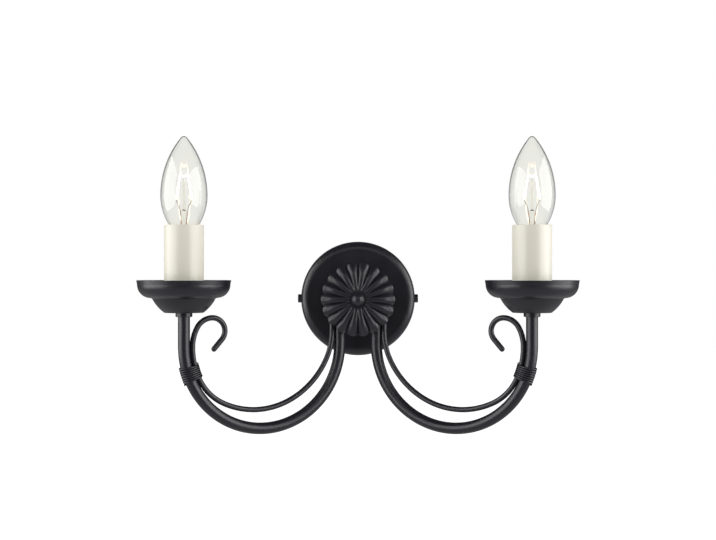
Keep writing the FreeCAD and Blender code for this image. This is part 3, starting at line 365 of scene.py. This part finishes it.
right_screw = slotted_screw("plate_side_screws", PLATE_R - SCREW_POINT)
left_screw = right_screw.copy()
left_screw.data = right_screw.data.copy()
bpy.context.scene.collection.objects.link(left_screw)
right_screw.location = (PLATE_R, SCREW_DEPTH, 0)
right_screw.rotation_euler = (RIGHT_SLOT_TURN, 0, 0)
left_screw.location = (-PLATE_R, SCREW_DEPTH, 0)
left_screw.rotation_euler = (LEFT_SLOT_TURN, 0, math.radians(180))
only(left_screw, right_screw)
bpy.ops.object.transform_apply(location=True, rotation=True, scale=True)
bpy.ops.object.join()
right_screw.data.materials.append(black_metal)
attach(right_screw, "root")
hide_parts("plate_screws")


# --- Wall bracket, earth screw and terminal block -------------------------------------------
# A zinc plated strap with two slots for the wall screws and ends bent out to take the plate's
# side screws. A nylon block with brass inserts joins the wires, and an earth screw stands by.

LINE_DETAIL = 4
DULL_DETAIL = 2
LINE_DEPTH = 0.1 * MM
LINE_STRETCH = (0.1, 1, 1)


def drawn_group():
    """Node group for rolled or drawn metal: fine lines along one direction and dull patches."""
    group = surface_group("rolled_metal", line_scale=500.0, line_height=0.1, patch_scale=120.0,
                          smoothest=0.29, roughest=0.42)
    source = group.nodes.new("NodeGroupInput")
    place = group.nodes.new("ShaderNodeTexCoord").outputs["Object"]
    along = group.nodes.new("ShaderNodeMapping")
    along.inputs["Scale"].default_value = LINE_STRETCH
    group.links.new(place, along.inputs["Vector"])
    lines = noise(group, along.outputs["Vector"], source.outputs["Line Scale"], LINE_DETAIL)
    patches = noise(group, place, source.outputs["Patch Scale"], DULL_DETAIL)
    finish_group(group, source, lines, patches, lines, source.outputs["Line Height"],
                 LINE_DEPTH)
    return group


rolled_metal = drawn_group()
zinc = coated("zinc_plated_steel", (0.42, 0.43, 0.42), (0.62, 0.62, 0.6), rolled_metal, 1.0,
              line_scale=700.0, line_height=0.3)
nylon = coated("white_nylon", (0.74, 0.74, 0.71), (0.82, 0.82, 0.8), patch_scale=200.0,
               smoothest=0.4, roughest=0.55)
plated_brass = coated("plated_brass", (0.55, 0.47, 0.28), (0.8, 0.72, 0.5), rolled_metal, 1.0,
                      line_scale=900.0)
dress(zinc, "wall_bracket", "earth_screw", "terminal_fixing_screw", "terminal_screws",
      "centre_stud", "stud_washer", "stud_nut")
dress(nylon, "terminal_block")
dress(plated_brass, "terminal_inserts")


# --- Hub, rosette and ball nut --------------------------------------------------------------
# A round hub of black pressed steel stands on the plate and takes the inner ends of both arms.
# A fluted dish of eighteen petals covers it, held by a ball nut on the centre stud.

PETALS = 18
MARKS_PER_PETAL = 16
RIM_R = 29.3 * MM
SEAT_R = 6.0 * MM
STUD_HOLE_R = 3.4 * MM
RIM_DEPTH = 44.5 * MM
DOME_RISE = 6.5 * MM
FLUTE_RISE = 2.6 * MM
RIM_CURL = 1.6 * MM
CURL_START = 0.6
SCALLOP = 1.6 * MM
SCALLOP_START = 0.72
CREST_POWER = 2.4
SHEET = 1.0 * MM
RIM_EDGE = 0.3 * MM
RING_TOLERANCE = 0.05 * MM
ROSETTE_CREASE = math.radians(38)

# The rings lie closer together near the seat and the rim, where the sheet bends most.
RING_SHARES = (0.0, 0.025, 0.07, 0.13, 0.2, 0.28, 0.37, 0.46, 0.55, 0.64, 0.72, 0.79, 0.85, 0.9,
               0.94, 0.97, 1.0)


def share_past(share, start):
    """How much of the way from a start to the rim is behind a share of the radius."""
    return max(0.0, (share - start) / (1 - start))


def dome_depth(radius):
    """Depth of the rosette's grooves in front of the wall, at a radius."""
    share = max(0.0, (radius - SEAT_R) / (RIM_R - SEAT_R))
    curl = RIM_CURL * share_past(share, CURL_START) ** 2
    return RIM_DEPTH + DOME_RISE * (1 - (max(radius, SEAT_R) / RIM_R) ** 2) - curl


def on_mark(corner, ring_r, aside):
    """Whether a vertex lies on a ring and at one place, crest 0 to groove 1, of any petal."""
    if abs(math.hypot(corner.co.x, corner.co.z) - ring_r) > RING_TOLERANCE:
        return False
    petal = math.atan2(corner.co.z, corner.co.x) / (2 * math.pi) * PETALS
    return abs(2 * abs(petal - round(petal)) - aside) < 0.5 / MARKS_PER_PETAL


bpy.ops.object.select_all(action="DESELECT")
bpy.ops.mesh.primitive_circle_add(vertices=PETALS * MARKS_PER_PETAL, radius=STUD_HOLE_R,
                                  location=(0, -dome_depth(0), 0),
                                  rotation=(math.radians(90), 0, 0))
rosette = bpy.context.object
rosette.name = "fluted_rosette"
bpy.ops.object.transform_apply(location=True, rotation=True, scale=True)
only(rosette)
bpy.ops.object.mode_set(mode="EDIT")
bpy.ops.mesh.select_mode(type="VERT")
bpy.ops.mesh.select_all(action="SELECT")
ring_r = STUD_HOLE_R
for share in RING_SHARES:
    next_r = SEAT_R + (RIM_R - SEAT_R) * share
    forward = dome_depth(ring_r) - dome_depth(next_r)
    bpy.ops.mesh.extrude_region_move(TRANSFORM_OT_translate={"value": (0, forward, 0)})
    bpy.ops.transform.resize(value=(next_r / ring_r, 1, next_r / ring_r),
                             center_override=(0, 0, 0))
    ring_r = next_r
bpy.ops.object.mode_set(mode="OBJECT")

# The petals swell between sharp grooves: in every ring the vertices of one place on all petals
# move forward together, and near the rim they also move in for the scallops.
for share in RING_SHARES[1:]:
    ring_r = SEAT_R + (RIM_R - SEAT_R) * share
    swell = FLUTE_RISE * math.sin(share * math.pi / 2)
    notch = SCALLOP / RIM_R * share_past(share, SCALLOP_START) ** 2
    for mark in range(MARKS_PER_PETAL // 2 + 1):
        aside = 2 * mark / MARKS_PER_PETAL
        inwards = 1 - notch * aside ** 2
        edit_picked(rosette, "VERT", lambda corner: on_mark(corner, ring_r, aside))
        bpy.ops.transform.translate(value=(0, -swell * (1 - aside ** CREST_POWER), 0))
        bpy.ops.transform.resize(value=(inwards, 1, inwards), center_override=(0, 0, 0))
        bpy.ops.object.mode_set(mode="OBJECT")

only(rosette)
pressed = rosette.modifiers.new("sheet", "SOLIDIFY")
pressed.thickness = SHEET
pressed.offset = -1
pressed.use_even_offset = True
bpy.ops.object.modifier_apply(modifier="sheet")
one_face = len(rosette.data.vertices) // 2
rim_start = one_face - PETALS * MARKS_PER_PETAL
edit_picked(rosette, "VERT", lambda corner: corner.index % one_face >= rim_start)
bpy.ops.mesh.select_mode(type="FACE")
bpy.ops.mesh.region_to_loop()
bpy.ops.mesh.bevel(offset=RIM_EDGE, segments=2)
bpy.ops.object.mode_set(mode="OBJECT")
bpy.ops.object.shade_smooth_by_angle(angle=ROSETTE_CREASE)
rosette.data.materials.append(black_metal)
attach(rosette, "root")
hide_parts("rosette")

dress(black_metal, "arm_hub", "ball_nut")
rubber = coated("black_rubber", (0.012, 0.012, 0.012), (0.02, 0.02, 0.02), smoothest=0.6,
                roughest=0.75)
dress(rubber, "wire_grommet_left", "wire_grommet_right")


# --- Arms and scroll rods -------------------------------------------------------------------
# Each arm is a bent steel tube, and a thin rod runs along it, is bound to it and curls into a
# scroll under the drip pan. Both have the same satin black coat.

SIDES = {"left": -1, "right": 1}

for side in SIDES:
    dress(black_metal, f"arm_tube_{side}", f"scroll_rod_{side}")


# --- Wire bindings --------------------------------------------------------------------------
# Black wire is wound tightly round tube and rod, turn against turn, so that the rod stays on
# the tube.

HUB_X, HUB_Y = 14.5 * MM, -35.0 * MM
CUP_X, CUP_Y = 130.5 * MM, -90.0 * MM
BEND_R = math.hypot(CUP_X - HUB_X, CUP_Y - HUB_Y) / 2
BEND_LEVEL = -34.8 * MM
ARM_TURN = math.atan2(HUB_Y - CUP_Y, CUP_X - HUB_X)
TUBE_R, ROD_R = 4.5 * MM, 2.1 * MM
WIRE_R = 0.79 * MM
WIRE_PITCH = 1.64 * MM
WIRE_TURNS = 7.5
WIRE_SHAKE = 0.05 * MM
SHAKE_SEEDS = {"left": 7, "right": 11}
WIRE_MIDDLE = math.radians(18.6)
WIRE_CREASE = math.radians(50)
MARKS_PER_TURN = 16
ROD_END_NARROWING = 0.2


def on_arm(sign, angle, inwards, aside):
    """Point beside the arm's bend, at an angle below its outer end."""
    distance = BEND_R - inwards
    along = BEND_R + distance * math.cos(angle)
    level = BEND_LEVEL - distance * math.sin(angle)
    ahead_x, ahead_y = math.cos(ARM_TURN), -math.sin(ARM_TURN)
    return Vector((sign * (HUB_X + along * ahead_x + aside * math.sin(ARM_TURN)),
                   HUB_Y + along * ahead_y + aside * math.cos(ARM_TURN), level))


def oval(share):
    """Inwards and sideways place of a wire that hugs tube and rod, for a share of a turn."""
    turn = 2 * math.pi * share
    inwards = ROD_R - (TUBE_R + ROD_R + WIRE_R) * math.cos(turn)
    narrowing = ROD_END_NARROWING * (1 - math.cos(turn)) / 2
    return inwards, (TUBE_R + WIRE_R) * (1 - narrowing) * math.sin(turn)


for side, sign in SIDES.items():
    wound = bpy.data.curves.new(f"binding_wire_{side}", "CURVE")
    wound.dimensions = "3D"
    wound.bevel_depth = WIRE_R
    wound.bevel_resolution = 3
    wound.use_fill_caps = True
    wound.resolution_u = 3
    marks = int(WIRE_TURNS * MARKS_PER_TURN) + 1
    line = wound.splines.new("NURBS")
    line.points.add(marks - 1)
    shaky = random.Random(SHAKE_SEEDS[side])
    for number in range(marks):
        share = number / MARKS_PER_TURN
        inwards, aside = oval(share)
        advance = WIRE_PITCH * (share - WIRE_TURNS / 2) + shaky.uniform(-WIRE_SHAKE, WIRE_SHAKE)
        spot = on_arm(sign, WIRE_MIDDLE - advance / BEND_R, inwards, aside)
        line.points[number].co = (*spot, 1)
    line.order_u = 4
    line.use_endpoint_u = True
    binding = bpy.data.objects.new(f"binding_wire_{side}", wound)
    bpy.context.scene.collection.objects.link(binding)
    only(binding)
    bpy.ops.object.convert(target="MESH")
    binding = bpy.context.object
    bpy.ops.object.shade_smooth_by_angle(angle=WIRE_CREASE)
    binding.data.materials.clear()
    binding.data.materials.append(black_metal)
    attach(binding, "root")
    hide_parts(f"wire_binding_{side}")


# --- Drip pans ------------------------------------------------------------------------------
# Pressed steel pans with a ledge and an upright lip, coated like the arms. Each stands on the
# end of its tube and is held from below by a round collar nut.

for side in SIDES:
    dress(black_metal, f"cup_{side}", f"cup_nut_{side}")


# --- Candle sleeves and lampholders ---------------------------------------------------------
# Plain ivory sleeves of a smooth satin plastic slide over small screw lampholders, which stand
# on plated feet in the drip pans. A plated shell and a centre contact lie inside each holder.

ivory = coated("ivory_sleeve_plastic", (0.65, 0.625, 0.53), (0.69, 0.665, 0.57), peel_scale=500.0,
               peel_height=0.03, patch_scale=25.0, smoothest=0.285, roughest=0.34)
phenolic = coated("holder_plastic", (0.72, 0.69, 0.62), (0.8, 0.78, 0.71), smoothest=0.45,
                  roughest=0.6)
for side in SIDES:
    dress(ivory, f"candle_sleeve_{side}")
    dress(phenolic, f"holder_body_{side}")
    dress(zinc, f"holder_foot_{side}")
    dress(plated_brass, f"screw_shell_{side}", f"centre_contact_{side}")


# --- Candle bulbs ---------------------------------------------------------------------------
# Clear blown glass on a plated screw cap. Inside, a glass stem carries two lead wires and a
# glowing filament.

GLASS_IOR = 1.46
GLASS_WAVE_SCALE = 45
GLASS_WAVE_DEPTH = 0.4 * MM


def glass_like(name, tint, roughness, waviness):
    """Clear glass with faint waves, which lets light through to what is inside."""
    made = bpy.data.materials.new(name)
    made.use_nodes = True
    tree = made.node_tree
    shader = tree.nodes["Principled BSDF"]
    shader.inputs["Base Color"].default_value = (*tint, 1)
    shader.inputs["Roughness"].default_value = roughness
    shader.inputs["IOR"].default_value = GLASS_IOR
    shader.inputs["Transmission Weight"].default_value = 1
    place = tree.nodes.new("ShaderNodeTexCoord")
    waves = tree.nodes.new("ShaderNodeTexNoise")
    waves.inputs["Scale"].default_value = GLASS_WAVE_SCALE
    bump = tree.nodes.new("ShaderNodeBump")
    bump.inputs["Strength"].default_value = waviness
    bump.inputs["Distance"].default_value = GLASS_WAVE_DEPTH
    tree.links.new(place.outputs["Object"], waves.inputs["Vector"])
    tree.links.new(waves.outputs["Fac"], bump.inputs["Height"])
    tree.links.new(bump.outputs["Normal"], shader.inputs["Normal"])
    clear = tree.nodes.new("ShaderNodeBsdfTransparent")
    light_path = tree.nodes.new("ShaderNodeLightPath")
    both = tree.nodes.new("ShaderNodeMixShader")
    output = tree.nodes["Material Output"]
    tree.links.new(light_path.outputs["Is Shadow Ray"], both.inputs[0])
    tree.links.new(shader.outputs[0], both.inputs[1])
    tree.links.new(clear.outputs[0], both.inputs[2])
    tree.links.new(both.outputs[0], output.inputs["Surface"])
    return made


bulb_glass = glass_like("clear_bulb_glass", (0.945, 0.945, 0.915), 0.0, 0.15)
stem_glass = glass_like("pressed_stem_glass", (0.97, 0.96, 0.9), 0.05, 0.3)
black_glass = coated("black_cap_glass", (0.01, 0.01, 0.012), (0.02, 0.02, 0.024), smoothest=0.08,
                     roughest=0.2)
tin = coated("tinned_solder", (0.5, 0.5, 0.5), (0.68, 0.68, 0.68), rolled_metal, 1.0,
             smoothest=0.35, roughest=0.5)


def toned_by_height(name, socket, stops, glow=0.0):
    """Bare wire whose colour follows its height, through stops of a level and a tone each."""
    (low, low_tone), (high, high_tone) = stops[0], stops[-1]
    made = coated(name, low_tone, high_tone, rolled_metal, 1.0)
    tree = made.node_tree
    place = tree.nodes.new("ShaderNodeTexCoord")
    axes = tree.nodes.new("ShaderNodeSeparateXYZ")
    tree.links.new(place.outputs["Object"], axes.inputs[0])
    height = ranged(tree, axes.outputs["Z"], (low, high))
    ramp = tree.nodes.new("ShaderNodeValToRGB")
    tree.links.new(height.outputs["Result"], ramp.inputs["Fac"])
    ramp.color_ramp.elements[0].color = (*low_tone, 1)
    ramp.color_ramp.elements[-1].color = (*high_tone, 1)
    for level, tone in stops[1:-1]:
        stop = ramp.color_ramp.elements.new((level - low) / (high - low))
        stop.color = (*tone, 1)
    shader = tree.nodes["Principled BSDF"]
    tree.links.new(ramp.outputs["Color"], shader.inputs[socket])
    shader.inputs["Emission Strength"].default_value = glow
    return made


def heights(name):
    """Lowest and highest level of a CAD node."""
    levels = [corner.co.z for corner in nodes[name].data.vertices]
    return min(levels), max(levels)


STEM_LOW, STEM_HIGH = heights("glass_stem_left")
LEAD_LOW = heights("lead_wires_left")[0]
COIL_LOW, COIL_HIGH = heights("filament_left")
LEAD_R = 0.3 * MM
LEAD_INSIDE = 1.3 * MM
LEAD_BESIDE = 2.7 * MM
LEAD_SPREAD = 6.0 * MM
PEAK_SPREAD = 2.7 * MM
COIL_R = 0.42 * MM
COIL_WIRE_R = 0.13 * MM
COIL_PITCH = 0.4 * MM
COIL_BEND = 0.8 * MM
COIL_MARKS = 8
DRAWN_CREASE = math.radians(60)

# How far each wire stands from the bulb's axis, and at what level, from one end to the other.
LEAD_ROUTE = ((LEAD_INSIDE, STEM_LOW + 3 * MM),
              (LEAD_INSIDE, LEAD_LOW - 2 * MM),
              (LEAD_BESIDE, LEAD_LOW + 1 * MM),
              (LEAD_BESIDE, LEAD_LOW + 5 * MM),
              (LEAD_SPREAD, COIL_LOW),
              (LEAD_SPREAD, COIL_LOW + 2 * COIL_R))
COIL_ROUTE = ((-LEAD_SPREAD, COIL_LOW),
              (-PEAK_SPREAD, COIL_HIGH),
              (0, STEM_HIGH + 2 * COIL_R),
              (PEAK_SPREAD, COIL_HIGH),
              (LEAD_SPREAD, COIL_LOW))

COPPER = (0.5, 0.2, 0.1)
NICKEL = (0.5, 0.47, 0.43)
WARM = (0.1, 0.034, 0.007)
HOT = (1.0, 0.8, 0.5)
FILAMENT_GLOW = 14.0
lead_metal = toned_by_height("lead_wire_metal", "Base Color",
                             ((LEAD_LOW + 1.5 * MM, COPPER), (LEAD_LOW + 3.5 * MM, NICKEL)))
glowing = toned_by_height("glowing_coil", "Emission Color",
                          ((COIL_LOW, WARM), (COIL_LOW + 2.5 * MM, HOT),
                           (COIL_HIGH - 4.0 * MM, HOT), (COIL_HIGH, WARM)), FILAMENT_GLOW)


def drawn_wire(name, runs, radius, material, smooth=True):
    """Mesh of round wires along runs of points."""
    wire = bpy.data.curves.new(name, "CURVE")
    wire.dimensions = "3D"
    wire.bevel_depth = radius
    wire.bevel_resolution = 2
    wire.use_fill_caps = True
    wire.resolution_u = 6 if smooth else 1
    for run in runs:
        line = wire.splines.new("NURBS" if smooth else "POLY")
        line.points.add(len(run) - 1)
        for number, spot in enumerate(run):
            line.points[number].co = (*spot, 1)
        line.order_u = 3
        line.use_endpoint_u = True
    piece = bpy.data.objects.new(name, wire)
    bpy.context.scene.collection.objects.link(piece)
    only(piece)
    bpy.ops.object.convert(target="MESH")
    piece = bpy.context.object
    bpy.ops.object.shade_smooth_by_angle(angle=DRAWN_CREASE)
    piece.data.materials.clear()
    piece.data.materials.append(material)
    return piece


def coil_marks(corners):
    """Points of a fine coil that runs along straight legs with rounded corners."""
    legs = [(b - a).length for a, b in zip(corners, corners[1:])]
    whole = sum(legs)

    def along(distance):
        distance = min(max(distance, 0.0), whole)
        for start, end, leg in zip(corners, corners[1:], legs):
            if distance <= leg:
                return start.lerp(end, distance / leg)
            distance -= leg
        return corners[-1]

    marks = []
    steps = int(whole / COIL_PITCH * COIL_MARKS)
    for step in range(steps + 1):
        distance = whole * step / steps
        before, after = along(distance - COIL_BEND), along(distance + COIL_BEND)
        ahead = (after - before).normalized()
        aside = Vector((0, 1, 0))
        across = ahead.cross(aside)
        turn = 2 * math.pi * distance / COIL_PITCH
        around = aside * math.cos(turn) + across * math.sin(turn)
        marks.append((before + after) / 2 + around * COIL_R)
    return marks


for side, sign in SIDES.items():
    dress(bulb_glass, f"bulb_glass_{side}")
    dress(stem_glass, f"glass_stem_{side}")
    dress(plated_brass, f"bulb_cap_{side}")
    dress(black_glass, f"bulb_insulator_{side}")
    dress(tin, f"bulb_contact_{side}")

    axis = Vector((sign * CUP_X, CUP_Y, 0))
    leads = [[axis + Vector((way * out, 0, level)) for out, level in LEAD_ROUTE]
             for way in (-1, 1)]
    lead_pair = drawn_wire(f"lead_wire_pair_{side}", leads, LEAD_R, lead_metal)
    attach(lead_pair, f"bulb_{side}")
    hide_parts(f"lead_wires_{side}")

    corners = [axis + Vector((out, 0, level)) for out, level in COIL_ROUTE]
    coil = drawn_wire(f"filament_coil_{side}", [coil_marks(corners)], COIL_WIRE_R, glowing,
                      smooth=False)
    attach(coil, f"bulb_{side}")
    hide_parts(f"filament_{side}")


# --- Wires ----------------------------------------------------------------------------------
# Insulated wires, brown and blue, run from the block through the tubes to the lampholders. A
# green and yellow earth wire ends under its screw on the bracket.

STRIPE_TONE = (0.75, 0.6, 0.03)
STRIPE_SCALE = 210
STRIPE_EDGE = (0.55, 0.65)


def insulation(name, dark, light):
    """Satin plastic round a wire."""
    return coated(name, dark, light, smoothest=0.4, roughest=0.55)


def add_stripes(material):
    """Slanting stripes of a second colour on a wire's insulation."""
    tree = material.node_tree
    shader = tree.nodes["Principled BSDF"]
    plain = shader.inputs["Base Color"].links[0].from_socket
    place = tree.nodes.new("ShaderNodeTexCoord")
    bands = tree.nodes.new("ShaderNodeTexWave")
    bands.bands_direction = "DIAGONAL"
    bands.inputs["Scale"].default_value = STRIPE_SCALE
    tree.links.new(place.outputs["Object"], bands.inputs["Vector"])
    edge = ranged(tree, bands.outputs["Fac"], STRIPE_EDGE)
    both = colour_mix(tree, edge.outputs["Result"])
    both.inputs[MIX_SECOND].default_value = (*STRIPE_TONE, 1)
    tree.links.new(plain, both.inputs[MIX_FIRST])
    tree.links.new(both.outputs[MIX_RESULT], shader.inputs["Base Color"])


brown = insulation("brown_insulation", (0.12, 0.05, 0.025), (0.18, 0.08, 0.04))
blue = insulation("blue_insulation", (0.02, 0.09, 0.35), (0.04, 0.14, 0.45))
green = insulation("green_yellow_insulation", (0.05, 0.3, 0.05), (0.09, 0.4, 0.08))
add_stripes(green)
for side in SIDES:
    dress(brown, f"live_wire_{side}")
    dress(blue, f"neutral_wire_{side}")
dress(green, "earth_wire")
